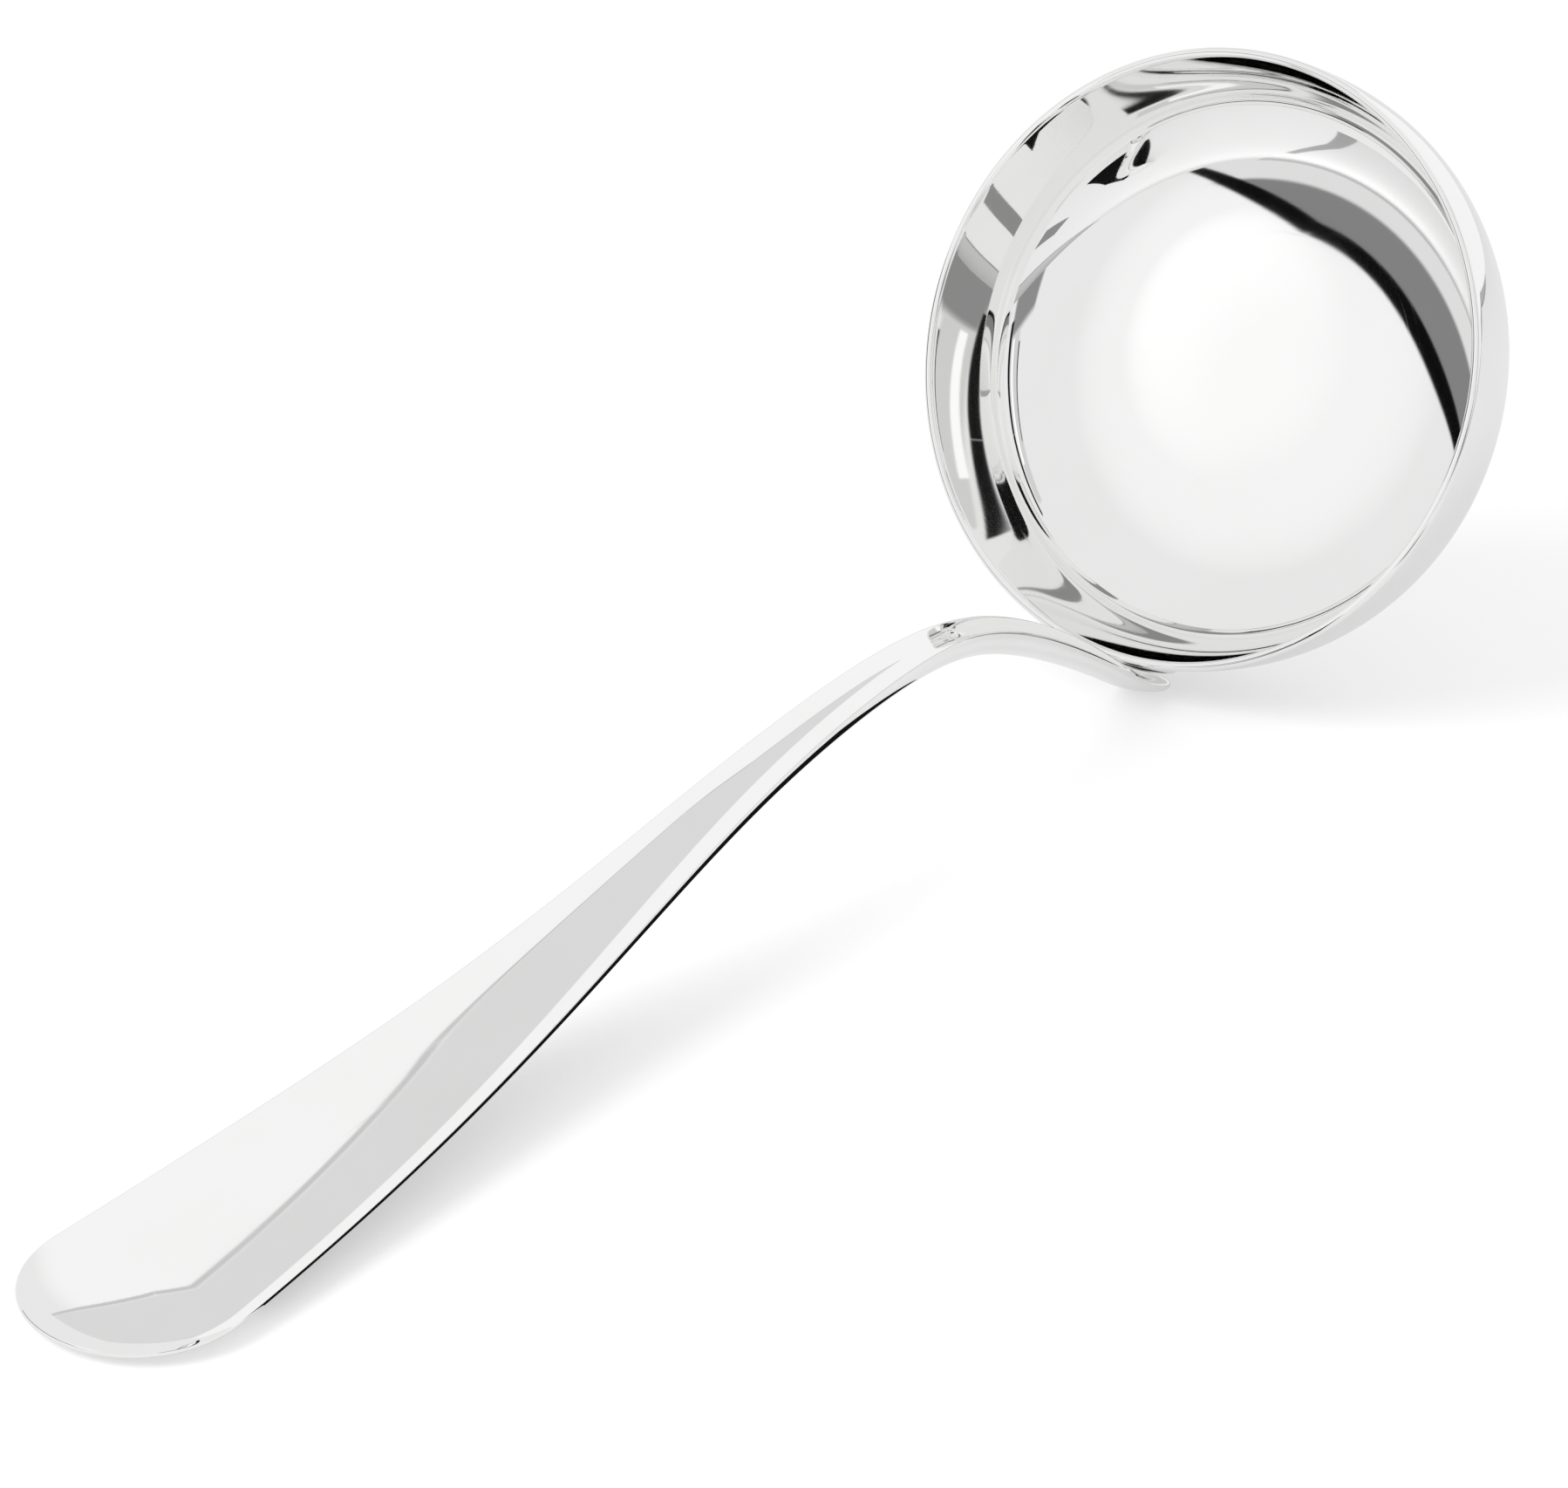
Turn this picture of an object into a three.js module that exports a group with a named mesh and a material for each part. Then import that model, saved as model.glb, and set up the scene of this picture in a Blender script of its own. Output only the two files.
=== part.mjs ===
// A sauce ladle lying at rest: a drawn round bowl on a forged swan-neck handle, with the handle's
// tongue brazed to the bowl's outer wall. Millimetres, +Z up.
//
// Row frame: the ladle lies on the plane z = 0, touching it at the tongue and at the handle's end.
// +X runs from the handle's end towards the bowl, y = 0 is the plane of symmetry, and the origin is
// at the bottom centre of the bounding box. The bowl's mouth faces -X and a little up.
//
// Each piece is first made in the bowl's own frame: the mouth upwards with its rim on z = 0, the
// bowl's axis on Z, and the handle on the -X side.

import * as THREE from 'three';
import { NURBSCurve } from 'three/addons/curves/NURBSCurve.js';
import { ParametricGeometry } from 'three/addons/geometries/ParametricGeometry.js';

// ---- Driving dimensions ----

const BOWL_RADIUS = 30;        // outside radius at the rim
const BOWL_DEPTH = 16;         // from the rim plane down to the outside of the bottom
const WALL_DROP = 15;          // how far the wall reaches down before it turns in, a curve handle
const FLOOR_REACH = 26;        // how far the flatter bottom reaches out, a curve handle
const BOWL_WALL = 0.9;         // thickness of the drawn wall
const BOWL_SIDES = 60;         // facets round the bowl
const BOWL_STEPS = 16;         // facets from the rim down to the bottom
const LIP_STEPS = 4;           // facets over the rounded lip

const GAP = 0.25;              // clearance between touching pieces
const SEAM_THICKNESS = 0.35;   // thickness of the brazed seam under the tongue
const SEAM_MARGIN = 0.6;       // how far the seam shows beyond the tongue's edge
const SEAM_TOP = 0.04;         // where the seam starts and ends along the wall's curve, from the rim
const SEAM_BOTTOM = 0.165;
const TONGUE_HALF_WIDTH = 2.7; // half-width of the tongue that the seam holds
const SEAM_STEPS = 10;         // rings along the seam
const SEAM_SIDES = 12;         // facets round the seam

// The handle from the tongue's tip to the far end, as the control points of cubic B-splines:
// how far the middle of the bar is out from the bowl's axis, how high it is above the rim, and
// half the bar's width and thickness there.
const HANDLE = [
  { out: 31.1, up: -6.6, halfWidth: 3.3, halfThickness: 0.85 },
  { out: 31.5, up: -5.4, halfWidth: 3.0, halfThickness: 0.85 },
  { out: 31.75, up: -1.0, halfWidth: 2.6, halfThickness: 0.85 },
  { out: 31.0, up: 1.5, halfWidth: 2.5, halfThickness: 1.0 },
  { out: 28.75, up: 12.0, halfWidth: 2.0, halfThickness: 1.6 },
  { out: 27.4, up: 24.6, halfWidth: 1.6, halfThickness: 1.75 },
  { out: 28.7, up: 38.2, halfWidth: 2.2, halfThickness: 1.65 },
  { out: 41.8, up: 63.3, halfWidth: 2.8, halfThickness: 1.5 },
  { out: 60.4, up: 89.0, halfWidth: 5.7, halfThickness: 1.35 },
  { out: 73.5, up: 114.5, halfWidth: 9.0, halfThickness: 1.2 },
  { out: 82.0, up: 133.4, halfWidth: 10.0, halfThickness: 1.15 },
];
const TONGUE_ROUNDING = 2.8;   // length over which the tongue's outline closes to its tip
const END_ROUNDING = 9;        // length over which the far end's outline closes
const EDGE_ROUNDING = 1.2;     // length over which the bar's thickness closes at both tips
const SECTION_POWER = 2.4;     // superellipse exponent of the bar's section, 2 being an ellipse
const HANDLE_STEPS = 52;       // rings along the handle
const HANDLE_SIDES = 20;       // facets round the handle
const CROWDING = 0.85;         // how much closer the rings stand at the tips, from 0 to 1

const LEAN = THREE.MathUtils.degToRad(69.9);   // turn from mouth up to lying at rest
const LAND_DEPTH = 0.15;       // metal worn away where the ladle stands

// ---- Shared shapes ----

// A superellipse point at an angle: its first and second coordinate, each from -1 to 1.
function sectionPoint(angle) {
  const bulge = (value) => Math.sign(value) * Math.abs(value) ** (2 / SECTION_POWER);
  return [bulge(Math.cos(angle)), bulge(Math.sin(angle))];
}

// How full a rounded end is at a distance from its tip: 0 at the tip, 1 past the rounding.
function roundedEnd(distance, rounding) {
  const inside = 1 - THREE.MathUtils.clamp(distance / rounding, 0, 1);
  return Math.sqrt(1 - inside * inside);
}

// Steps from 0 to 1 that crowd together at both ends, where the outline is round.
function crowded(step) {
  return step - CROWDING * Math.sin(2 * Math.PI * step) / (2 * Math.PI);
}

function clampedSpline(points) {
  const degree = 3;
  const spans = points.length - degree;
  const knots = [0, 0, 0];
  for (let i = 0; i <= spans; i += 1) knots.push(i / spans);
  knots.push(1, 1, 1);
  return new NURBSCurve(degree, knots, points.map(([x, y, z]) => new THREE.Vector4(x, y, z, 1)));
}

// ---- The pieces, in the bowl's frame ----

// The outside of the bowl from the rim to the middle of the bottom: x is out from the axis, y is up.
const wall = new THREE.CubicBezierCurve(
  new THREE.Vector2(BOWL_RADIUS, 0),
  new THREE.Vector2(BOWL_RADIUS, -WALL_DROP),
  new THREE.Vector2(FLOOR_REACH, -BOWL_DEPTH),
  new THREE.Vector2(0, -BOWL_DEPTH),
);

// A point of the wall's curve moved out along the curve's own normal; a negative offset moves it in.
function wallPoint(t, offset) {
  const tangent = wall.getTangent(t);
  return wall.getPoint(t).add(new THREE.Vector2(-tangent.y, tangent.x).multiplyScalar(offset));
}

// The bowl's profile runs from the outside of the bottom up to the rim, over the lip and down inside.
function makeBowl() {
  const lip = BOWL_WALL / 2;
  const outside = [];
  const inside = [];
  for (let i = 0; i <= BOWL_STEPS; i += 1) {
    outside.push(wallPoint(1 - i / BOWL_STEPS, 0));
    inside.push(wallPoint(i / BOWL_STEPS, -BOWL_WALL));
  }
  const overLip = [];
  for (let i = 1; i < LIP_STEPS; i += 1) {
    const angle = (Math.PI * i) / LIP_STEPS;
    overLip.push(new THREE.Vector2(BOWL_RADIUS - lip + lip * Math.cos(angle), lip * Math.sin(angle)));
  }
  outside[0].x = 0;
  inside[BOWL_STEPS].x = 0;
  return new THREE.LatheGeometry([...outside, ...overLip, ...inside], BOWL_SIDES).rotateX(Math.PI / 2);
}

function makeHandle() {
  const middle = clampedSpline(HANDLE.map(({ out, up }) => [-out, 0, up]));
  const halves = clampedSpline(HANDLE.map(({ halfWidth, halfThickness }) => [halfWidth, halfThickness, 0]));
  const length = middle.getLength();
  const centre = new THREE.Vector3();
  const half = new THREE.Vector3();
  const tangent = new THREE.Vector3();
  const ringPoint = (along, around, target) => {
    const t = middle.getUtoTmapping(crowded(along));
    const fromTongue = crowded(along) * length;
    const fromEnd = length - fromTongue;
    middle.getPoint(t, centre);
    middle.getTangent(t, tangent);
    halves.getPoint(t, half);
    const width = half.x * roundedEnd(fromTongue, TONGUE_ROUNDING) * roundedEnd(fromEnd, END_ROUNDING);
    const thickness = half.y * roundedEnd(fromTongue, EDGE_ROUNDING) * roundedEnd(fromEnd, EDGE_ROUNDING);
    const [across, through] = sectionPoint(2 * Math.PI * around);
    // The bar's face normal is its tangent turned a quarter in the plane of symmetry.
    target.set(
      centre.x + through * thickness * tangent.z,
      across * width,
      centre.z - through * thickness * tangent.x,
    );
  };
  return new ParametricGeometry(ringPoint, HANDLE_STEPS, HANDLE_SIDES);
}

// The seam is a thin pad wrapped round the bowl's wall, a little larger than the tongue above it.
function makeSeam() {
  const clearance = GAP + SEAM_THICKNESS / 2;
  const length = wallPoint(SEAM_TOP, clearance).distanceTo(wallPoint(SEAM_BOTTOM, clearance));
  const pad = (along, around, target) => {
    const fromTop = crowded(along) * length;
    const [across, through] = sectionPoint(2 * Math.PI * around);
    const fullness = roundedEnd(fromTop, SEAM_MARGIN) * roundedEnd(length - fromTop, TONGUE_ROUNDING);
    const t = THREE.MathUtils.lerp(SEAM_TOP, SEAM_BOTTOM, crowded(along));
    const place = wallPoint(t, clearance + (through * SEAM_THICKNESS * fullness) / 2);
    const turn = (across * (TONGUE_HALF_WIDTH + SEAM_MARGIN) * fullness) / BOWL_RADIUS;
    target.set(-place.x * Math.cos(turn), place.x * Math.sin(turn), place.y);
  };
  return new ParametricGeometry(pad, SEAM_STEPS, SEAM_SIDES);
}

// ---- The ladle, lying at rest ----

const polishedSteel = { color: 0xe9e9e7, metalness: 1, roughness: 0.08 };
const pieces = [
  { name: 'bowl', geometry: makeBowl(), finish: polishedSteel },
  { name: 'handle', geometry: makeHandle(), finish: polishedSteel },
  { name: 'brazed_seam', geometry: makeSeam(), finish: { color: 0xd8d6d0, metalness: 1, roughness: 0.25 } },
];

// The two lands are where the ladle has worn flat: nothing reaches below the plane it stands on.
function wearLands(geometry) {
  const position = geometry.getAttribute('position');
  for (let i = 0; i < position.count; i += 1) position.setZ(i, Math.max(position.getZ(i), 0));
  geometry.computeBoundingBox();
}

const box = new THREE.Box3();
for (const { geometry } of pieces) {
  geometry.rotateY(-LEAN);
  geometry.computeBoundingBox();
  box.union(geometry.boundingBox);
}
const centreX = (box.min.x + box.max.x) / 2;

const ladle = new THREE.Group();
for (const { name, geometry, finish } of pieces) {
  geometry.translate(-centreX, 0, -box.min.z - LAND_DEPTH);
  wearLands(geometry);
  const mesh = new THREE.Mesh(geometry, new THREE.MeshStandardMaterial(finish));
  mesh.name = name;
  ladle.add(mesh);
}

export default ladle;
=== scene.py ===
"""A sauce ladle of mirror-polished metal, lying at rest on a white studio floor.

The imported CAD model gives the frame: metres, +Z up, +X from the handle's end to the bowl, and
y = 0 as the plane of symmetry. Its three nodes are faceted, so each one is replaced here by a
smooth piece of the same size: the drawn bowl, the forged handle, and the braze between them.
"""

import logging
import math
from collections.abc import Sequence
from dataclasses import dataclass
from enum import Enum

import bmesh
import bpy
import numpy as np
from mathutils import Matrix, Vector


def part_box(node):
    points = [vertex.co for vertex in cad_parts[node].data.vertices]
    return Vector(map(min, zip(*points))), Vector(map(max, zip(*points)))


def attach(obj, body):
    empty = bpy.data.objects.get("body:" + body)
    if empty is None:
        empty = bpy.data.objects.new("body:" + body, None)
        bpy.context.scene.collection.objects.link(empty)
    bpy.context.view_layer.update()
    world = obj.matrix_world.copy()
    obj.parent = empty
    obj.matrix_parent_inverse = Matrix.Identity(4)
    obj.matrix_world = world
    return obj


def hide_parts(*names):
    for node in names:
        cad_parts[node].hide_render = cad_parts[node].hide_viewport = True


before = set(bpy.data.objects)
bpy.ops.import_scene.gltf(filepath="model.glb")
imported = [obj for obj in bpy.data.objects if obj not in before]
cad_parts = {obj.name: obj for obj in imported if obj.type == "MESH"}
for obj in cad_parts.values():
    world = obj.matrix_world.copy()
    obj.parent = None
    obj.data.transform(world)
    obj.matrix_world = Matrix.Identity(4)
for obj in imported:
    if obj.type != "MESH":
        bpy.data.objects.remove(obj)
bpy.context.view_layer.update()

log = logging.getLogger("sauce_ladle")

BODY = "root"
LEAN = math.radians(69.9)      # from mouth up to lying at rest, about the Y axis
MIX_COLOURS = (6, 7)           # a Mix node's two colour inputs, whose names its other inputs share
MIXED_COLOUR = 2               # the colour output of such a node


class Slot(Enum):
    """The record's material slots."""

    BOWL = "polished_bowl"
    HANDLE = "polished_handle"
    BRAZE = "braze_metal"


class Lay(Enum):
    """Which way the polishing wheel ran over a piece."""

    ROUND_THE_AXIS = "turned"
    ALONG_THE_BAR = "drawn"


# ---- Shared mesh work ----


def spline_points(controls: np.ndarray, places: np.ndarray) -> np.ndarray:
    """Points of a clamped uniform cubic B-spline.

    Args:
        controls: The control points, one row each.
        places: Places along the spline, from 0 to 1.

    Returns:
        One row for each place.
    """
    degree = 3
    count = len(controls)
    spans = count - degree
    knots = np.concatenate([np.zeros(degree), np.linspace(0, 1, spans + 1), np.ones(degree)])
    span = np.clip((places * spans).astype(int), 0, spans - 1) + degree
    rows = np.stack([controls[span - degree + j] for j in range(degree + 1)])
    for level in range(1, degree + 1):
        for j in range(degree, level - 1, -1):
            low = knots[span - degree + j]
            high = knots[span + 1 + j - level]
            share = ((places - low) / (high - low))[:, None]
            rows[j] = (1 - share) * rows[j - 1] + share * rows[j]
    return rows[degree]


def mesh_object(name: str, points: np.ndarray, faces: Sequence[Sequence[int]]) -> bpy.types.Object:
    """Makes a new object at the origin, with its place in its mesh.

    Args:
        name: The name of the object and its mesh.
        points: One row for each point.
        faces: The numbers of the points round each face.

    Returns:
        The object, linked to the scene.
    """
    mesh = bpy.data.meshes.new(name)
    mesh.from_pydata(points.tolist(), [], faces)
    piece = bpy.data.objects.new(name, mesh)
    bpy.context.scene.collection.objects.link(piece)
    return piece


def lofted_faces(rings: int, sides: int) -> list[tuple[int, int, int, int]]:
    """The faces of a tube whose rings each repeat their first point at the end.

    Args:
        rings: Steps along the tube.
        sides: Steps round it.

    Returns:
        The numbers of the points round each face.
    """
    starts = [ring * (sides + 1) + side for ring in range(rings) for side in range(sides)]
    return [(start, start + 1, start + sides + 2, start + sides + 1) for start in starts]


def close_and_smooth(piece: bpy.types.Object, merge: float = 1e-7) -> None:
    """Merges doubled points, turns every face outwards and shades it smooth.

    Args:
        piece: A mesh object.
        merge: Points nearer than this, in metres, become one.
    """
    shape = bmesh.new()
    shape.from_mesh(piece.data)
    bmesh.ops.remove_doubles(shape, verts=shape.verts, dist=merge)
    bmesh.ops.dissolve_degenerate(shape, edges=shape.edges, dist=merge)
    bmesh.ops.recalc_face_normals(shape, faces=shape.faces)
    shape.to_mesh(piece.data)
    shape.free()
    piece.data.shade_smooth()


def hand_over(piece: bpy.types.Object, node: str) -> None:
    """Puts a finished piece on the ladle's body, in place of its faceted CAD node.

    Args:
        piece: The smooth piece.
        node: The CAD node that it stands for.
    """
    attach(piece, BODY)
    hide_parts(node)
    log.info("%s: %d faces, stands for %s", piece.name, len(piece.data.polygons), node)


# ---- Node trees ----


class NodeWork:
    """Short calls for building any node tree."""

    def __init__(self, tree: bpy.types.NodeTree) -> None:
        """Starts from an empty tree.

        Args:
            tree: The tree to build in. Its nodes are removed.
        """
        self.tree = tree
        tree.nodes.clear()

    def add(self, kind: str, inputs: dict | None = None, **options: object) -> bpy.types.Node:
        """Adds a node.

        Args:
            kind: The node's type name.
            inputs: A value or an output socket for each input, by the input's name or number.
            options: Settings of the node itself.

        Returns:
            The node.
        """
        node = self.tree.nodes.new(kind)
        for key, value in options.items():
            setattr(node, key, value)
        for key, value in (inputs or {}).items():
            self.join(value, node.inputs[key])
        return node

    def join(self, value: object, socket: bpy.types.NodeSocket) -> None:
        """Links an output socket to an input, or sets the input to a plain value.

        Args:
            value: The output socket or the plain value.
            socket: The input.
        """
        if isinstance(value, bpy.types.NodeSocket):
            self.tree.links.new(value, socket)
        else:
            socket.default_value = value

    def math(self, operation: str, *values: object) -> bpy.types.NodeSocket:
        """Adds a Math node.

        Args:
            operation: What it works out.
            values: One to three values or sockets to work on.

        Returns:
            Its result.
        """
        return self.add("ShaderNodeMath", dict(enumerate(values)), operation=operation).outputs[0]

    def vector(self, x: object = 0.0, y: object = 0.0, z: object = 0.0) -> bpy.types.NodeSocket:
        """Puts a vector together.

        Args:
            x: Its first part, a value or a socket.
            y: Its second part.
            z: Its third part.

        Returns:
            The vector.
        """
        return self.add("ShaderNodeCombineXYZ", {0: x, 1: y, 2: z}).outputs[0]


# ---- Shaders ----


class Wiring(NodeWork):
    """Short calls for building a material or the studio's light."""

    def ramp(self, value: object, span: tuple[float, float],
             to: tuple[float, float]) -> bpy.types.NodeSocket:
        """Carries a value smoothly from one span to another.

        Args:
            value: The value or socket.
            span: The two ends it comes from.
            to: The two ends it goes to, which it doesn't pass.

        Returns:
            The carried value.
        """
        names = {"Value": value, "From Min": span[0], "From Max": span[1], "To Min": to[0], "To Max": to[1]}
        return self.add("ShaderNodeMapRange", names, interpolation_type="SMOOTHSTEP").outputs["Result"]

    def toward(self, direction: bpy.types.NodeSocket, line: Vector) -> bpy.types.NodeSocket:
        """How nearly a direction follows a line.

        Args:
            direction: The direction looked in.
            line: The line, a unit vector.

        Returns:
            The cosine of the angle between them.
        """
        dot = self.add("ShaderNodeVectorMath", {0: direction, 1: line}, operation="DOT_PRODUCT")
        return dot.outputs["Value"]

    def blend(self, share: object, first: object, second: object) -> bpy.types.NodeSocket:
        """Goes from one number to another.

        Args:
            share: How far to go, from 0 to 1.
            first: The number at 0.
            second: The number at 1.

        Returns:
            The number between them.
        """
        mix = self.add("ShaderNodeMix", {"Factor": share, "A": first, "B": second}, data_type="FLOAT")
        return mix.outputs[0]


@dataclass
class PolishMarks:
    """The node groups that both polished finishes and the braze share.

    Attributes:
        finer: How many times closer the fine hairlines lie than the coarse ones.
        start: Value of the crossed patterns at which the first hairlines show.
        start_drop: How far that value drops when hairlines take the whole surface.
        softness: How far above it a hairline is full.
        film_span: Values of the cloud between which the film builds up.
    """

    finer: float = 3.7
    start: float = 0.42
    start_drop: float = 0.2
    softness: float = 0.12
    film_span: tuple[float, float] = (0.35, 0.7)

    def __post_init__(self) -> None:
        """Builds each group once."""
        self.scratches = self._scratches()
        self.film = self._film()

    @staticmethod
    def _group(name: str, inputs: dict[str, str], outputs: dict[str, str]) -> Wiring:
        """Starts a shader group.

        Args:
            name: The group's name.
            inputs: The kind of each named input.
            outputs: The kind of each named output.

        Returns:
            Calls for building in it.
        """
        tree = bpy.data.node_groups.new(name, "ShaderNodeTree")
        for socket, kind in inputs.items():
            tree.interface.new_socket(socket, in_out="INPUT", socket_type=kind)
        for socket, kind in outputs.items():
            tree.interface.new_socket(socket, in_out="OUTPUT", socket_type=kind)
        return Wiring(tree)

    def _scratches(self) -> bpy.types.NodeTree:
        """Makes the hairline marks of the polishing wheel.

        Returns:
            A group that gives a mask from 0 to 1, and a height, along stretched coordinates.
        """
        wiring = self._group(
            "polishing_hairlines",
            {"Stretched": "NodeSocketVector", "Fineness": "NodeSocketFloat", "Share": "NodeSocketFloat"},
            {"Lines": "NodeSocketFloat", "Height": "NodeSocketFloat"},
        )
        given = wiring.add("NodeGroupInput").outputs
        coarse = wiring.add("ShaderNodeTexNoise", {
            "Vector": given["Stretched"], "Scale": given["Fineness"], "Detail": 3.0, "Roughness": 0.6})
        fine = wiring.add("ShaderNodeTexNoise", {
            "Vector": given["Stretched"], "Scale": wiring.math("MULTIPLY", given["Fineness"], self.finer),
            "Detail": 2.0, "Roughness": 0.5})
        both = wiring.math("MULTIPLY", coarse.outputs[0], fine.outputs[0])
        start = wiring.math("SUBTRACT", self.start, wiring.math("MULTIPLY", given["Share"], self.start_drop))
        full = wiring.math("ADD", start, self.softness)
        lines = wiring.add("ShaderNodeMapRange", {
            "Value": both, "From Min": start, "From Max": full}).outputs["Result"]
        wiring.add("NodeGroupOutput", {"Lines": lines, "Height": both})
        return wiring.tree

    def _film(self) -> bpy.types.NodeTree:
        """Makes the faint film that a cloth leaves.

        Returns:
            A group that gives a slow mask from 0 to 1.
        """
        wiring = self._group(
            "wiping_film",
            {"Place": "NodeSocketVector", "Size": "NodeSocketFloat"},
            {"Film": "NodeSocketFloat"},
        )
        given = wiring.add("NodeGroupInput").outputs
        cloud = wiring.add("ShaderNodeTexNoise", {
            "Vector": given["Place"], "Scale": wiring.math("DIVIDE", 1.0, given["Size"]),
            "Detail": 4.0, "Roughness": 0.55, "Distortion": 0.6})
        film = wiring.ramp(cloud.outputs[0], self.film_span, (0.0, 1.0))
        wiring.add("NodeGroupOutput", {"Film": film})
        return wiring.tree


@dataclass(frozen=True)
class PolishedMetal:
    """A bright metal finish, from mirror to satin.

    Attributes:
        name: The material's name.
        colour: Reflected colour of the clean metal.
        film_colour: Reflected colour where the wiping film lies.
        roughness: Roughness of the clean polish.
        film_roughness: How much the film adds to it.
        line_roughness: How much a hairline adds to it.
        lay: Which way the hairlines run.
        fineness: Hairlines per metre, roughly.
        share: How much of the surface the hairlines take, from 0 to 1.
        film_size: Size of a patch of film, in metres.
        line_depth: Depth of the hairlines, in metres.
        along_scale: How fast a pattern changes along the bar, beside across it.
        round_shift: How far a pattern shifts on its way round the axis, in metres.
    """

    name: str
    colour: tuple[float, float, float] = (0.96, 0.96, 0.957)
    film_colour: tuple[float, float, float] = (0.945, 0.945, 0.94)
    roughness: float = 0.02
    film_roughness: float = 0.02
    line_roughness: float = 0.05
    lay: Lay = Lay.ALONG_THE_BAR
    fineness: float = 900.0
    share: float = 0.3
    film_size: float = 0.02
    line_depth: float = 2e-7
    along_scale: float = 0.03
    round_shift: float = 0.0006

    def material(self, marks: PolishMarks, axis: Matrix) -> bpy.types.Material:
        """Builds the material.

        Args:
            marks: The shared node groups.
            axis: The bowl's own frame in the row frame, for marks that run round its axis.

        Returns:
            A new material.
        """
        made = bpy.data.materials.new(self.name)
        made.use_nodes = True
        wiring = Wiring(made.node_tree)
        place = wiring.add("ShaderNodeTexCoord").outputs["Object"]
        stretched = self._stretched(wiring, place, axis)
        lines = wiring.add("ShaderNodeGroup", node_tree=marks.scratches)
        wiring.join(stretched, lines.inputs["Stretched"])
        wiring.join(self.fineness, lines.inputs["Fineness"])
        wiring.join(self.share, lines.inputs["Share"])
        film = wiring.add("ShaderNodeGroup", node_tree=marks.film)
        wiring.join(place, film.inputs["Place"])
        wiring.join(self.film_size, film.inputs["Size"])

        colour = wiring.add("ShaderNodeMix", {"Factor": film.outputs["Film"]}, data_type="RGBA")
        for number, tint in zip(MIX_COLOURS, (self.colour, self.film_colour)):
            wiring.join((*tint, 1), colour.inputs[number])
        rough = wiring.math("MULTIPLY_ADD", film.outputs["Film"], self.film_roughness, self.roughness)
        rough = wiring.math("MULTIPLY_ADD", lines.outputs["Lines"], self.line_roughness, rough)
        bump = wiring.add("ShaderNodeBump", {
            "Strength": 1.0, "Distance": self.line_depth, "Height": lines.outputs["Height"]})
        shader = wiring.add("ShaderNodeBsdfPrincipled", {
            "Base Color": colour.outputs[MIXED_COLOUR], "Metallic": 1.0, "Roughness": rough,
            "Normal": bump.outputs["Normal"]})
        wiring.add("ShaderNodeOutputMaterial", {"Surface": shader.outputs[0]})
        return made

    def _stretched(self, wiring: Wiring, place: bpy.types.NodeSocket, axis: Matrix) -> bpy.types.NodeSocket:
        """Works out coordinates in which a pattern is drawn out along the lay.

        Args:
            wiring: The material's node tree.
            place: The plain place on the piece.
            axis: The bowl's own frame in the row frame.

        Returns:
            The stretched coordinates.
        """
        if self.lay is Lay.ALONG_THE_BAR:
            along = wiring.add("ShaderNodeUVMap", uv_map="bar")
            return wiring.add("ShaderNodeMapping", {
                "Vector": along.outputs["UV"], "Scale": (self.along_scale, 1.0, 1.0)}).outputs[0]
        inverse = axis.inverted()
        turned = wiring.add("ShaderNodeMapping", {
            "Vector": place, "Location": inverse.to_translation(), "Rotation": inverse.to_euler()})
        parts = wiring.add("ShaderNodeSeparateXYZ", {0: turned.outputs[0]}).outputs
        angle = wiring.math("ARCTAN2", parts["Y"], parts["X"])
        out = wiring.math("SQRT", wiring.math("ADD", wiring.math("POWER", parts["X"], 2.0),
                                              wiring.math("POWER", parts["Y"], 2.0)))
        round_it = wiring.math("MULTIPLY", wiring.math("SINE", angle), self.round_shift)
        return wiring.vector(round_it, out, parts["Z"])


# ---- The bowl ----


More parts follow.
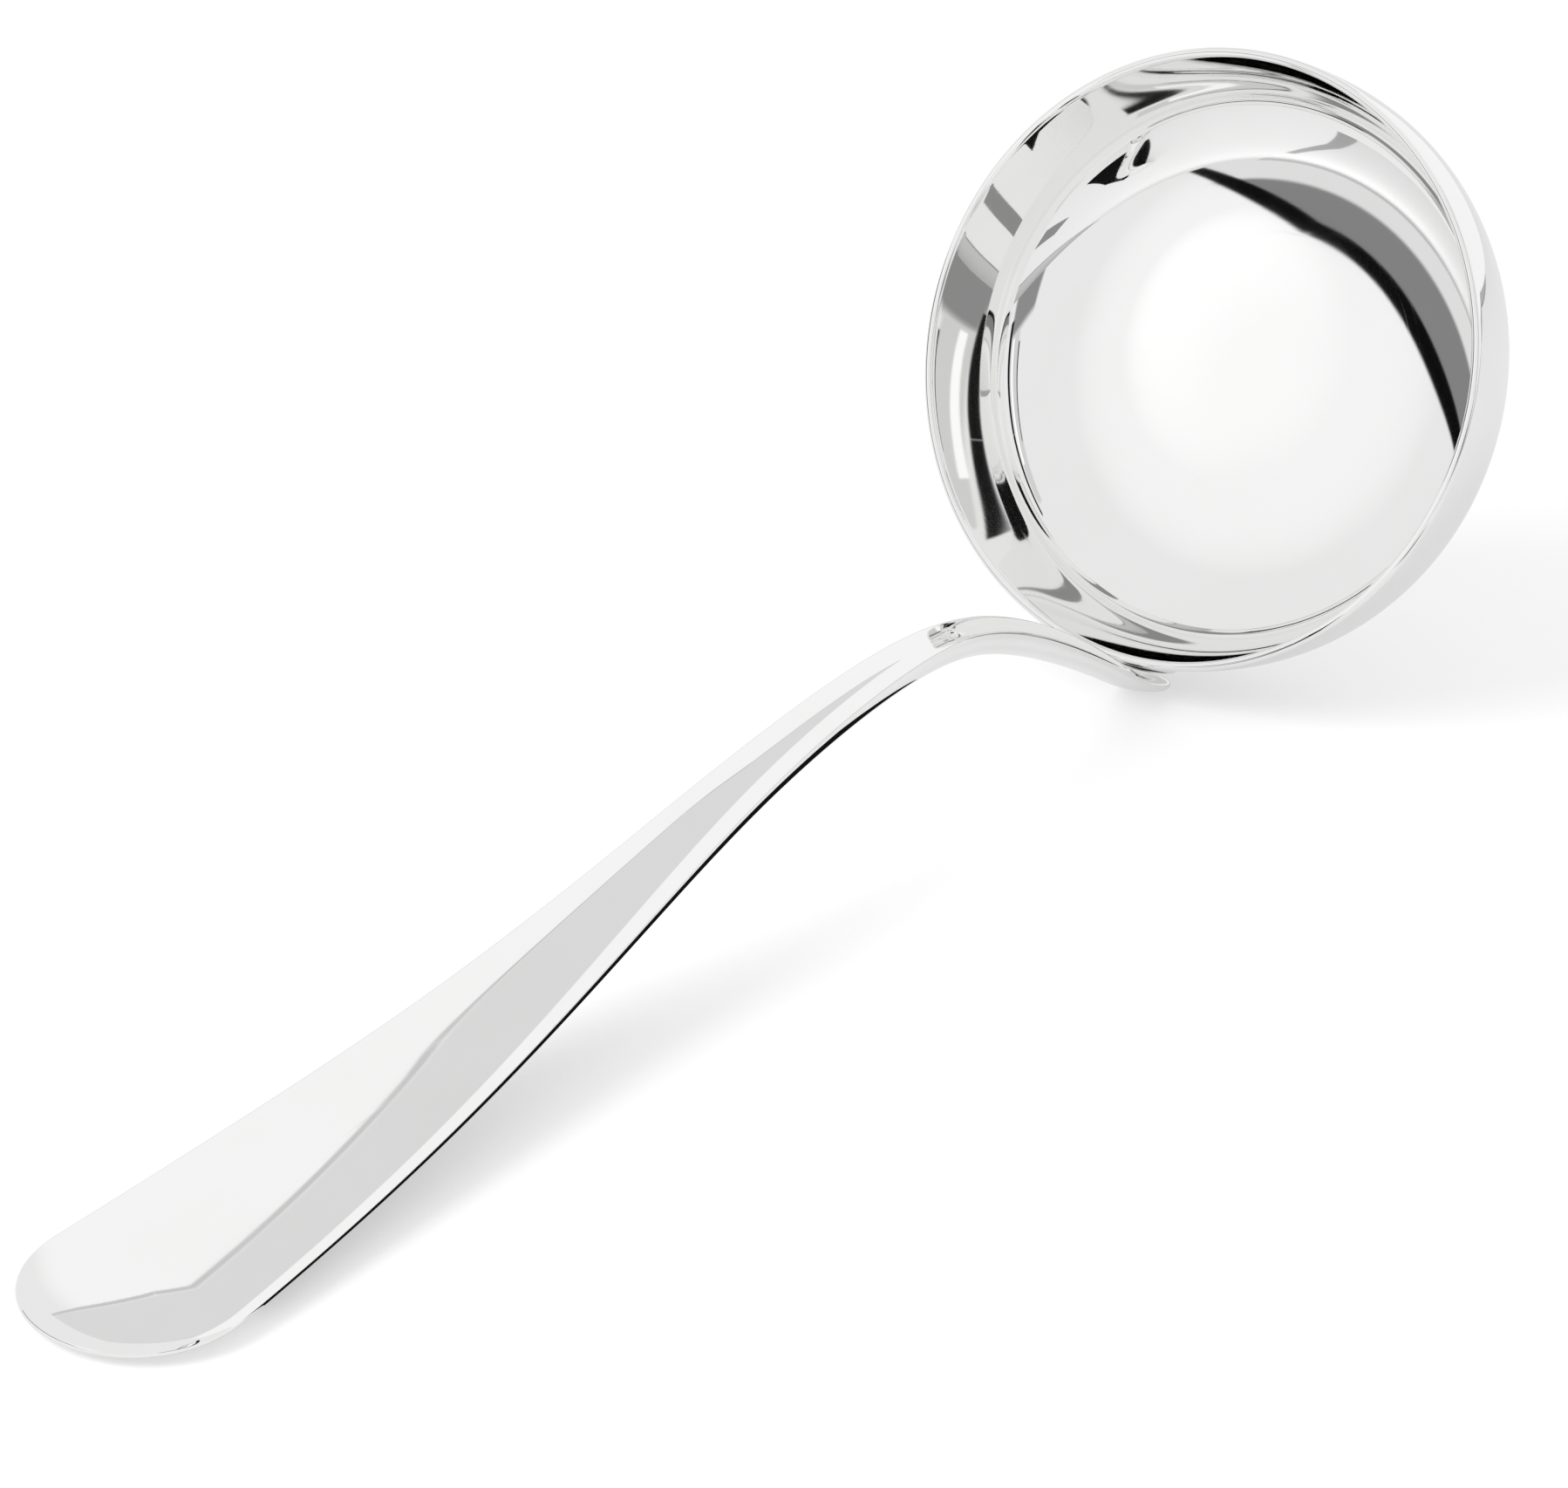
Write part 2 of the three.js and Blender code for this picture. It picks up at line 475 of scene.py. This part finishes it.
class Shape(NodeWork):
    """Short calls for building one Geometry Nodes tree with named inputs."""

    def __init__(self, name: str, inputs: dict[str, float]) -> None:
        """Starts a tree.

        Args:
            name: The tree's name.
            inputs: The tree's named inputs and their values.
        """
        super().__init__(bpy.data.node_groups.new(name, "GeometryNodeTree"))
        self.sizes = inputs
        for socket, value in inputs.items():
            kind = "NodeSocketInt" if isinstance(value, int) else "NodeSocketFloat"
            self.tree.interface.new_socket(socket, in_out="INPUT", socket_type=kind)
        self.tree.interface.new_socket("Geometry", in_out="OUTPUT", socket_type="NodeSocketGeometry")
        self.given = self.add("NodeGroupInput").outputs

    def finish(self, geometry: bpy.types.NodeSocket, metal: bpy.types.Material) -> None:
        """Ends the tree in real, dressed geometry.

        Args:
            geometry: The shape.
            metal: Its finish.
        """
        real = self.add("GeometryNodeRealizeInstances", {0: geometry}).outputs[0]
        dressed = self.add("GeometryNodeSetMaterial", {"Geometry": real, "Material": metal}).outputs[0]
        self.add("NodeGroupOutput", {0: dressed})

    def bake(self, name: str) -> bpy.types.Object:
        """Runs the tree and keeps its result as a plain mesh.

        Args:
            name: The new piece's name.

        Returns:
            The piece, at the origin, with no modifier.
        """
        holder = bpy.data.objects.new(name + "_maker", bpy.data.meshes.new(name + "_maker"))
        bpy.context.scene.collection.objects.link(holder)
        modifier = holder.modifiers.new("maker", "NODES")
        modifier.node_group = self.tree
        for item in self.tree.interface.items_tree:
            if item.in_out == "INPUT":
                modifier[item.identifier] = self.sizes[item.name]
        graph = bpy.context.evaluated_depsgraph_get()
        mesh = bpy.data.meshes.new_from_object(holder.evaluated_get(graph), depsgraph=graph)
        mesh.name = name
        bpy.data.objects.remove(holder)
        piece = bpy.data.objects.new(name, mesh)
        bpy.context.scene.collection.objects.link(piece)
        return piece


@dataclass
class Bowl:
    """The drawn bowl: one curve turned round its axis, with a wall and a rounded lip.

    Attributes:
        radius: Outside radius at the rim.
        depth: From the rim plane down to the outside of the bottom.
        drop: How far the wall reaches down before it turns in.
        reach: How far the flatter bottom reaches out.
        wall: Thickness of the wall.
        steps: Faces from the rim to the middle of the bottom.
        lip_steps: Faces over the lip.
        sides: Faces round the axis.
    """

    radius: float = 0.02994
    depth: float = 0.01597
    drop: float = 0.015
    reach: float = 0.026
    wall: float = 0.0009
    steps: int = 96
    lip_steps: int = 12
    sides: int = 288

    def placing(self) -> Matrix:
        """Works out where the bowl's own frame lies, from the CAD bowl's box.

        Returns:
            The bowl's frame in the row frame: its mouth on +Z, its rim's middle at the origin.
        """
        low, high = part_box("bowl")
        middle_of_lip = self.radius - self.wall / 2
        x = low.x + middle_of_lip * math.cos(LEAN) + self.wall / 2
        z = high.z - middle_of_lip * math.sin(LEAN) - self.wall / 2
        return Matrix.Translation((x, 0, z)) @ Matrix.Rotation(-LEAN, 4, "Y")

    def wall_point(self, t: np.ndarray | float, offset: float) -> tuple[np.ndarray, np.ndarray]:
        """Places on the wall's curve, moved out along its normal.

        Args:
            t: Places along the curve, 0 at the rim and 1 at the middle of the bottom.
            offset: Distance out of the metal; a negative one goes in.

        Returns:
            How far out from the axis, and how far up from the rim.
        """
        t = np.asarray(t, float)
        ends = np.array([[self.radius, 0], [self.radius, -self.drop],
                         [self.reach, -self.depth], [0, -self.depth]])
        blend = np.stack([(1 - t) ** 3, 3 * t * (1 - t) ** 2, 3 * t**2 * (1 - t), t**3], -1)
        slope = np.stack([(1 - t) ** 2, 2 * t * (1 - t), t**2], -1) @ np.diff(ends, axis=0)
        slope /= np.linalg.norm(slope, axis=-1, keepdims=True)
        place = blend @ ends + offset * np.stack([-slope[..., 1], slope[..., 0]], -1)
        return place[..., 0], place[..., 1]

    def build(self, metal: bpy.types.Material) -> bpy.types.Object:
        """Makes the bowl and puts it in place.

        Args:
            metal: The finish.

        Returns:
            The piece.
        """
        sizes = {"Radius": self.radius, "Depth": self.depth, "Drop": self.drop, "Reach": self.reach,
                 "Wall": self.wall, "Steps": self.steps, "Lip Steps": self.lip_steps, "Sides": self.sides}
        shape = Shape("turned_bowl", sizes)
        given = shape.given
        down = shape.math("MULTIPLY", given["Depth"], -1.0)
        outside = shape.add("GeometryNodeCurvePrimitiveBezierSegment", {
            "Resolution": given["Steps"],
            "Start": shape.vector(given["Radius"]),
            "Start Handle": shape.vector(given["Radius"], 0.0, shape.math("MULTIPLY", given["Drop"], -1.0)),
            "End Handle": shape.vector(given["Reach"], 0.0, down),
            "End": shape.vector(0.0, 0.0, down)}, mode="POSITION").outputs[0]
        # The curve starts straight down and ends level, so that the lip and the middle close.
        index = shape.add("GeometryNodeInputIndex").outputs[0]
        first = shape.math("LESS_THAN", index, 0.5)
        last = shape.math("GREATER_THAN", index, shape.math("SUBTRACT", given["Steps"], 0.5))
        between = shape.math("SUBTRACT", 1.0, shape.math("ADD", first, last))
        along = shape.add("GeometryNodeInputTangent").outputs[0]
        parts = shape.add("ShaderNodeSeparateXYZ", {0: along}).outputs
        inwards = shape.add("ShaderNodeVectorMath", {
            0: shape.vector(shape.math("SUBTRACT", shape.math("MULTIPLY", parts["Z"], between), first), 0.0,
                           shape.math("SUBTRACT", last, shape.math("MULTIPLY", parts["X"], between))),
            "Scale": given["Wall"]}, operation="SCALE").outputs[0]
        line = shape.add("GeometryNodeResampleCurve", {"Curve": outside}, keep_last_segment=True)
        line.mode = "EVALUATED"
        inside = shape.add("GeometryNodeSetPosition", {
            "Geometry": line.outputs[0], "Offset": inwards}).outputs[0]
        half = shape.math("MULTIPLY", given["Wall"], 0.5)
        arc = shape.add("GeometryNodeCurveArc", {
            "Resolution": shape.math("ADD", given["Lip Steps"], 1), "Radius": half,
            "Start Angle": 0.0, "Sweep Angle": math.pi}, mode="RADIUS").outputs[0]
        stood = shape.add("GeometryNodeTransform", {
            "Geometry": arc, "Rotation": (math.pi / 2, 0.0, 0.0),
            "Translation": shape.vector(shape.math("SUBTRACT", given["Radius"], half))}).outputs[0]
        turned = [self._turned(shape, curve) for curve in (line.outputs[0], stood, inside)]
        whole = shape.add("GeometryNodeJoinGeometry")
        for part in turned:
            shape.join(part, whole.inputs[0])
        shape.finish(whole.outputs[0], metal)
        piece = shape.bake("bowl_shell")
        close_and_smooth(piece)
        piece.data.transform(self.placing())
        return piece

    @staticmethod
    def _turned(shape: Shape, curve: bpy.types.NodeSocket) -> bpy.types.NodeSocket:
        """Turns a curve in the XZ plane round the Z axis.

        Args:
            shape: The tree to build in.
            curve: A curve of plain points.

        Returns:
            A surface with a face for each step of the curve and each side.
        """
        size = shape.add("GeometryNodeAttributeDomainSize", {"Geometry": curve}, component="CURVE")
        count = size.outputs["Point Count"]
        sides = shape.given["Sides"]
        grid = shape.add("GeometryNodeMeshGrid", {
            "Vertices X": shape.math("ADD", sides, 1), "Vertices Y": count})
        index = shape.add("GeometryNodeInputIndex").outputs[0]
        turn = shape.math("FLOOR", shape.math("DIVIDE", shape.math("ADD", index, 0.5), count))
        step = shape.math("SUBTRACT", index, shape.math("MULTIPLY", turn, count))
        place = shape.add("GeometryNodeInputPosition").outputs[0]
        sample = shape.add("GeometryNodeSampleIndex", {
            "Geometry": curve, "Value": place, "Index": step}, data_type="FLOAT_VECTOR", domain="POINT")
        angle = shape.math("MULTIPLY", turn, shape.math("DIVIDE", 2 * math.pi, sides))
        rotated = shape.add("ShaderNodeVectorRotate", {
            "Vector": sample.outputs[0], "Angle": angle}, rotation_type="Z_AXIS").outputs[0]
        return shape.add("GeometryNodeSetPosition", {
            "Geometry": grid.outputs[0], "Position": rotated}).outputs[0]


# ---- The handle ----


@dataclass(frozen=True)
class Station:
    """A control point of the handle's splines, in the bowl's frame.

    Attributes:
        out: How far the middle of the bar is out from the bowl's axis.
        up: How high it is above the rim.
        half_width: Half the bar's width.
        half_thickness: Half its thickness.
    """

    out: float
    up: float
    half_width: float
    half_thickness: float


STATIONS = (
    Station(0.03110, -0.0066, 0.0033, 0.00085),
    Station(0.03150, -0.0054, 0.0030, 0.00085),
    Station(0.03175, -0.0010, 0.0026, 0.00085),
    Station(0.03100, 0.0015, 0.0025, 0.00100),
    Station(0.02875, 0.0120, 0.0020, 0.00160),
    Station(0.02740, 0.0246, 0.0016, 0.00175),
    Station(0.02870, 0.0382, 0.0022, 0.00165),
    Station(0.04180, 0.0633, 0.0028, 0.00150),
    Station(0.06040, 0.0890, 0.0057, 0.00135),
    Station(0.07350, 0.1145, 0.0090, 0.00120),
    Station(0.08200, 0.1334, 0.0100, 0.00115),
)


@dataclass
class Handle:
    """The forged bar: tongue, swan neck and widening end.

    Attributes:
        stations: The control points, from the tongue's tip to the far end.
        tongue_round: Length over which the tongue's outline closes to its tip.
        end_round: Length over which the far end's outline closes.
        power: Superellipse exponent of the section, 2 being an ellipse.
        rings: Sections along the bar.
        sides: Faces round the bar.
        samples: Places at which the splines are worked out, to measure along them.
        face_shift: How far the polishing marks are shifted on each face, so that the two differ.
    """

    stations: tuple[Station, ...] = STATIONS
    tongue_round: float = 0.0028
    end_round: float = 0.009
    power: float = 2.4
    rings: int = 420
    sides: int = 96
    samples: int = 4001
    face_shift: float = 0.03

    def build(self, placing: Matrix, metal: bpy.types.Material) -> bpy.types.Object:
        """Makes the handle and puts it in place.

        Args:
            placing: The bowl's frame in the row frame.
            metal: The finish.

        Returns:
            The piece.
        """
        points, along, around = self._surface()
        piece = mesh_object("handle_bar", points, lofted_faces(self.rings, self.sides))
        layer = piece.data.uv_layers.new(name="bar")
        corners = np.zeros(len(piece.data.loops), np.int32)
        piece.data.loops.foreach_get("vertex_index", corners)
        layer.data.foreach_set("uv", np.stack([along[corners], around[corners]], 1).ravel())
        close_and_smooth(piece)
        piece.data.materials.append(metal)
        piece.data.transform(placing)
        rest_on_floor(piece)
        return piece

    def _surface(self) -> tuple[np.ndarray, np.ndarray, np.ndarray]:
        """Works out the bar's surface, in the bowl's frame.

        Returns:
            The points, ring by ring, and the distance along the bar and round it at each point.
        """
        table = np.array([[-s.out, 0, s.up, s.half_width, s.half_thickness] for s in self.stations])
        fine = spline_points(table, np.linspace(0, 1, self.samples))
        run = np.concatenate([[0], np.cumsum(np.linalg.norm(np.diff(fine[:, :3], axis=0), axis=1))])
        steps = (1 - np.cos(np.linspace(0, math.pi, self.rings + 1))) / 2
        at = steps * run[-1]
        row = np.stack([np.interp(at, run, column) for column in fine.T], 1)
        slopes = np.gradient(fine[:, :3], run, axis=0)
        slope = np.stack([np.interp(at, run, column) for column in slopes.T], 1)
        slope /= np.linalg.norm(slope, axis=1, keepdims=True)

        # How far into each rounded end a ring lies: 0 outside it, 1 at the tip.
        tongue = np.clip(1 - at / self.tongue_round, 0, 1)
        end = np.clip(1 - (run[-1] - at) / self.end_round, 0, 1)
        closing = np.maximum(tongue, end)[:, None]
        angle = np.linspace(0, 2 * math.pi, self.sides + 1)[None, :]
        across = np.sign(np.cos(angle)) * np.abs(np.cos(angle)) ** (2 / self.power)
        width = np.sqrt(1 - closing**2) * across
        from_middle = np.sqrt(closing**2 + width**2)
        through = np.sign(np.sin(angle)) * (1 - np.minimum(from_middle, 1) ** self.power) ** (1 / self.power)
        through[:, 0] = through[:, -1] = 0
        through[:, self.sides // 2] = 0

        half_width, half_thickness = row[:, None, 3], row[:, None, 4]
        points = np.repeat(row[:, None, :3], self.sides + 1, 1)
        points[:, :, 0] += through * half_thickness * slope[:, None, 2]
        points[:, :, 1] += width * half_width
        points[:, :, 2] -= through * half_thickness * slope[:, None, 0]
        along = np.repeat(at[:, None], self.sides + 1, 1)
        around = np.sign(np.sin(angle)) * self.face_shift + width * half_width
        return points.reshape(-1, 3), along.ravel(), around.ravel()


def rest_on_floor(piece: bpy.types.Object) -> None:
    """Wears a piece flat where it would reach below the floor.

    Args:
        piece: A mesh object, already in place.
    """
    for vertex in piece.data.vertices:
        vertex.co.z = max(vertex.co.z, 0.0)


# ---- The braze ----


@dataclass
class Seam:
    """The braze under the tongue, a thin pad that shows as a fillet round the tongue's edge.

    Attributes:
        top: Where the pad starts along the wall's curve, from the rim.
        bottom: Where it ends.
        thickness: Its thickness.
        clearance: How far it stands off the wall.
        half_width: Half its width.
        top_round: Share of its length over which it opens at the top.
        tip_round: Share of its length over which it closes at the tongue's tip.
        rings: Steps along it.
        sides: Faces round it.
    """

    top: float = 0.04
    bottom: float = 0.165
    thickness: float = 0.00035
    clearance: float = 0.00025
    half_width: float = 0.0033
    top_round: float = 0.2
    tip_round: float = 0.6
    rings: int = 48
    sides: int = 32

    def build(self, bowl: Bowl, metal: bpy.types.Material) -> bpy.types.Object:
        """Makes the pad round the bowl's wall and puts it in place.

        Args:
            bowl: The bowl it wraps round.
            metal: The finish.

        Returns:
            The piece.
        """
        steps = (1 - np.cos(np.linspace(0, math.pi, self.rings + 1))) / 2
        angle = np.linspace(0, 2 * math.pi, self.sides + 1)[None, :]
        closing = np.clip(1 - (1 - steps) / self.tip_round, 0, 1)[:, None]
        opening = np.clip(1 - steps / self.top_round, 0, 1)[:, None]
        full = np.sqrt(1 - np.maximum(closing, opening) ** 2)
        off = self.clearance + self.thickness / 2 * (1 + np.sin(angle) * full)
        t = np.repeat((self.top + (self.bottom - self.top) * steps)[:, None], self.sides + 1, 1)
        base_out, base_up = bowl.wall_point(t, 0.0)
        far_out, far_up = bowl.wall_point(t, 1.0)
        out = base_out + off * (far_out - base_out)
        up = base_up + off * (far_up - base_up)
        turn = self.half_width * np.cos(angle) * full / bowl.radius
        points = np.stack([-out * np.cos(turn), out * np.sin(turn), up], -1).reshape(-1, 3)
        piece = mesh_object("seam_fillet", points, lofted_faces(self.rings, self.sides))
        close_and_smooth(piece)
        piece.data.materials.append(metal)
        piece.data.transform(bowl.placing())
        return piece


# ---- The studio ----


def towards(turn: float, height: float) -> Vector:
    """A direction out of the studio.

    Args:
        turn: Degrees round from +X towards +Y.
        height: Degrees up from the floor.

    Returns:
        A unit vector.
    """
    turn, height = math.radians(turn), math.radians(height)
    return Vector((math.cos(turn) * math.cos(height), math.sin(turn) * math.cos(height), math.sin(height)))


@dataclass(frozen=True)
class Panel:
    """A flat panel of the light tent, far off, with straight sides.

    Attributes:
        corners: Its corners in order, as degrees round from +X and degrees up.
        brightness: Its brightness.
        softness: How wide its soft edge is, in degrees.
    """

    corners: tuple[tuple[float, float], ...]
    brightness: float
    softness: float = 0.4

    def hang(self, wiring: Wiring, direction: bpy.types.NodeSocket,
             tent: bpy.types.NodeSocket) -> bpy.types.NodeSocket:
        """Hangs the panel in front of the tent.

        Args:
            wiring: The world's node tree.
            direction: The direction looked in.
            tent: The brightness without the panel.

        Returns:
            The brightness with it.
        """
        places = [towards(*corner) for corner in self.corners]
        middle = sum(places, Vector())
        inside = 1.0
        for first, second in zip(places, places[1:] + places[:1]):
            side = first.cross(second).normalized()
            side = side if side.dot(middle) > 0 else -side
            soft = math.radians(self.softness) / 2
            within = wiring.ramp(wiring.toward(direction, side), (-soft, soft), (0.0, 1.0))
            inside = wiring.math("MULTIPLY", inside, within)
        return wiring.blend(inside, tent, self.brightness)


@dataclass(frozen=True)
class Glow:
    """A round patch of the tent that brightens towards its middle.

    Attributes:
        reach: Cosine of the angle from its middle to its edge.
        edge: Its brightness at the edge and beyond.
        middle: Its brightness in the middle.
    """

    reach: float
    edge: float
    middle: float

    def shine(self, wiring: Wiring, nearness: bpy.types.NodeSocket) -> bpy.types.NodeSocket:
        """Works out the patch's brightness.

        Args:
            wiring: The world's node tree.
            nearness: Cosine of the angle between its middle and the direction looked in.

        Returns:
            The brightness.
        """
        return wiring.ramp(nearness, (self.reach, 1.0), (self.edge, self.middle))


@dataclass(frozen=True)
class FloorCard:
    """A flat card, lying level.

    Attributes:
        corners: Its corners in order, on X and Y.
        grey: Its plain grey, from 0 to 1.
        height: How high it lies.
        glow: How brightly it is lit from below.
    """

    corners: tuple[tuple[float, float], ...]
    grey: float
    height: float
    glow: float = 0.0

    def lay(self, name: str) -> bpy.types.Object:
        """Lays the card, as part of the stage.

        Args:
            name: The name of the card and its material.

        Returns:
            The card.
        """
        points = np.array([[*corner, self.height] for corner in self.corners])
        card = mesh_object(name, points, [tuple(range(len(points)))])
        made = bpy.data.materials.new(name)
        made.use_nodes = True
        wiring = Wiring(made.node_tree)
        shader = wiring.add("ShaderNodeBsdfPrincipled", {
            "Base Color": (self.grey, self.grey, self.grey, 1), "Roughness": 0.8, "Specular IOR Level": 0.0,
            "Emission Color": (1, 1, 1, 1), "Emission Strength": self.glow})
        wiring.add("ShaderNodeOutputMaterial", {"Surface": shader.outputs[0]})
        card.data.materials.append(made)
        return card


GLOW_AT = (155, 15.4)          # middle of both glows, in degrees round from +X and degrees up
WIDE_GLOW = Glow(0.93, edge=0.84, middle=0.94)
SPOT_GLOW = Glow(0.9955, edge=0.0, middle=0.12)
PANELS = (
    Panel(((-65, -6), (62, -6), (64, 66), (-65, 74)), 0.94, softness=6.0),           # side softbox
    Panel(((8, 44), (52, 42), (72, 44), (82, 62), (8, 80)), 0.72, softness=1.0),     # grey top card
    Panel(((8, 43.3), (52, 41.3), (52, 42.0), (8, 44.0)), 0.58, softness=0.3),       # its edge
    Panel(((52, 41.3), (72, 43.3), (72, 44.0), (52, 42.0)), 0.58, softness=0.3),
    Panel(((100, -2), (168, -2), (151, 11.5), (100, 9)), 0.76, softness=0.6),        # back wall, lower part
    Panel(((100, 3), (161, 4.5), (151, 11.5), (100, 9)), 0.23, softness=1.2),        # back wall, upper part
    Panel(((100, 7.7), (151, 10.8), (151.4, 12.7), (100, 9.8)), 0.004),              # its dark top edge
    Panel(((165.6, -2), (168, -2), (151.6, 12.7), (150.2, 11.4)), 0.004),            # its dark side edge
    Panel(((222, -3), (252, -3), (252, 12), (222, 10)), 0.27, softness=4.0),         # front wall
    Panel(((238, 12), (252, 12), (260, 62), (244, 62)), 0.66, softness=1.5),         # front softbox, dim rim
    Panel(((246, 13), (249, 13), (257, 50), (252, 50)), 1.05, softness=1.0),         # front softbox
    Panel(((236.6, 16), (238.6, 16), (243.4, 44), (241.8, 44)), 0.02, softness=0.8),  # dark stand beside it
    Panel(((250.5, 6), (254.5, 6), (261.5, 40), (257, 40)), 0.01, softness=0.8),     # and on its other side
    Panel(((257, 40), (261.5, 40), (272, 65), (266, 65)), 0.01, softness=0.8),       # its upper part
)
WHOLE_FLOOR = ((-1.5, -1.5), (1.5, -1.5), (1.5, 1.5), (-1.5, 1.5))
LIT_FLOOR = FloorCard(WHOLE_FLOOR, 0.40, 0.0, glow=0.5)
MIRRORED_CARDS = (             # only the mirror polish sees these
    # painted reflections: grey cards that only the mirror polish shows where the real floor is white; the
    # first is the whole floor, greyer than the lit floor
    FloorCard(WHOLE_FLOOR, 0.23, 0.0001, glow=0.5),
    # the far side of the floor, and its darker edge, as painted reflection: greyer than the white floor and
    # shown only in the mirror
    FloorCard(((-1.4, 0.60), (-0.06, 0.095), (0.02, 0.06), (0.02, 1.4), (-1.4, 1.4)), 0.47, 0.0002),
    FloorCard(((-0.35, 0.205), (-0.06, 0.090), (0.02, 0.053), (0.02, 0.060), (-0.06, 0.097), (-0.35, 0.215)),
              0.24, 0.0004),
    # the near side of the floor, and its darker edge, as painted reflection: greyer than the white floor and
    # shown only in the mirror
    FloorCard(((-1.4, -1.4), (1.4, -1.4), (1.4, -0.25), (-1.4, -0.25)), 0.38, 0.0002),
    FloorCard(((-1.4, -0.25), (1.4, -0.25), (1.4, -0.235), (-1.4, -0.235)), 0.16, 0.0003),
    # painted shadow beside the bowl, and a near-black painted shadow under the near half of the ladle, shown
    # only in the mirror
    FloorCard(((-0.01, -0.080), (0.040, -0.080), (0.040, -0.056), (-0.01, -0.056)), 0.18, 0.0002),
    FloorCard(((-0.075, -0.014), (-0.02, -0.0245), (0.0365, -0.0235), (0.0365, 0.0), (-0.075, 0.002)),
              0.005, 0.0004),
)


@dataclass
class Studio:
    """A white floor, soft light and the camera.

    Attributes:
        rim_centre: The middle of the bowl's rim, which the camera and the key light are placed from.
        soft_light: Brightness of the light from all round that falls on the floor.
        key_from: Where the key light hangs, in degrees round from +X and degrees up.
        key_distance: How far off it hangs.
        key_size: Its diameter.
        key_power: Its power, in watts.
        camera_offset: Where the camera stands, from the rim's middle.
        camera_turn: Its rotation about X, Y and Z, in degrees.
        sensor: Width of its sensor, in millimetres.
        focal_length: Its focal length, in millimetres.
        near_limit: The nearest distance that it sees.
    """

    rim_centre: Vector
    soft_light: float = 1.12
    key_from: tuple[float, float] = (150, 38)
    key_distance: float = 0.9
    key_size: float = 0.6
    key_power: float = 6.0
    camera_offset: tuple[float, float, float] = (-0.31352, -0.18014, 0.11997)
    camera_turn: tuple[float, float, float] = (65.961, 0.049, -53.923)
    sensor: float = 36.0
    focal_length: float = 90.1
    near_limit: float = 0.01

    def build(self) -> None:
        """Makes the whole studio."""
        self._floor()
        self._sky()
        self._key()
        self._camera()
        bpy.context.scene.view_settings.view_transform = "Standard"

    @staticmethod
    def _floor() -> None:
        """Lays the white floor, and the cards on it that give the mirror polish its contrast: painted
        reflections of a greyer floor and painted shadows round the ladle, which only the polish shows.
        """
        LIT_FLOOR.lay("lit_floor")
        for number, card in enumerate(MIRRORED_CARDS, 1):
            # each card is a painted reflection, hidden from the camera, from diffuse light and from shadows
            laid = card.lay(f"painted_reflection_card_{number}")
            laid.visible_camera = laid.visible_diffuse = laid.visible_shadow = False

    def _sky(self) -> None:
        """Surrounds the studio with a soft white tent, which only the polish sees panel by panel."""
        world = bpy.data.worlds.new("studio_light")
        bpy.context.scene.world = world
        world.use_nodes = True
        wiring = Wiring(world.node_tree)
        direction = wiring.add("ShaderNodeTexCoord").outputs["Generated"]
        nearness = wiring.toward(direction, towards(*GLOW_AT))
        tent = wiring.math("ADD", WIDE_GLOW.shine(wiring, nearness), SPOT_GLOW.shine(wiring, nearness))
        for panel in PANELS:
            tent = panel.hang(wiring, direction, tent)
        mirrored = wiring.add("ShaderNodeLightPath").outputs["Is Glossy Ray"]
        light = wiring.add("ShaderNodeBackground", {
            "Color": (1, 1, 1, 1), "Strength": wiring.blend(mirrored, self.soft_light, tent)})
        wiring.add("ShaderNodeOutputWorld", {"Surface": light.outputs[0]})

    def _key(self) -> None:
        """Hangs the main soft light, which the polish doesn't mirror."""
        lamp = bpy.data.lights.new("key_light", "AREA")
        lamp.shape = "DISK"
        lamp.size = self.key_size
        lamp.energy = self.key_power
        key = bpy.data.objects.new("key_light", lamp)
        bpy.context.scene.collection.objects.link(key)
        key.location = self.rim_centre + towards(*self.key_from) * self.key_distance
        key.rotation_euler = (self.rim_centre - key.location).to_track_quat("-Z", "Y").to_euler()
        key.visible_glossy = False

    def _camera(self) -> None:
        """Sets up the camera that looks into the bowl from the handle's side."""
        data = bpy.data.cameras.new("camera")
        data.sensor_width = self.sensor
        data.lens = self.focal_length
        data.clip_start = self.near_limit
        camera = bpy.data.objects.new("camera", data)
        bpy.context.scene.collection.objects.link(camera)
        camera.location = self.rim_centre + Vector(self.camera_offset)
        camera.rotation_euler = [math.radians(angle) for angle in self.camera_turn]
        bpy.context.scene.camera = camera


def main() -> None:
    """Builds the ladle and the studio, in order."""
    logging.basicConfig(level=logging.INFO, format="%(name)s: %(message)s")
    bowl = Bowl()
    placing = bowl.placing()
    marks = PolishMarks()
    mirror_turned = PolishedMetal("polished_bowl_metal", lay=Lay.ROUND_THE_AXIS)
    mirror_drawn = PolishedMetal("polished_handle_metal")
    hand_over(bowl.build(mirror_turned.material(marks, placing)), "bowl")
    handle = Handle().build(placing, mirror_drawn.material(marks, placing))
    hand_over(handle, "handle")
    braze = PolishedMetal("dressed_braze_metal", roughness=0.15, lay=Lay.ROUND_THE_AXIS)
    hand_over(Seam().build(bowl, braze.material(marks, placing)), "brazed_seam")
    Studio(placing.to_translation()).build()


if __name__ == "__main__":
    main()
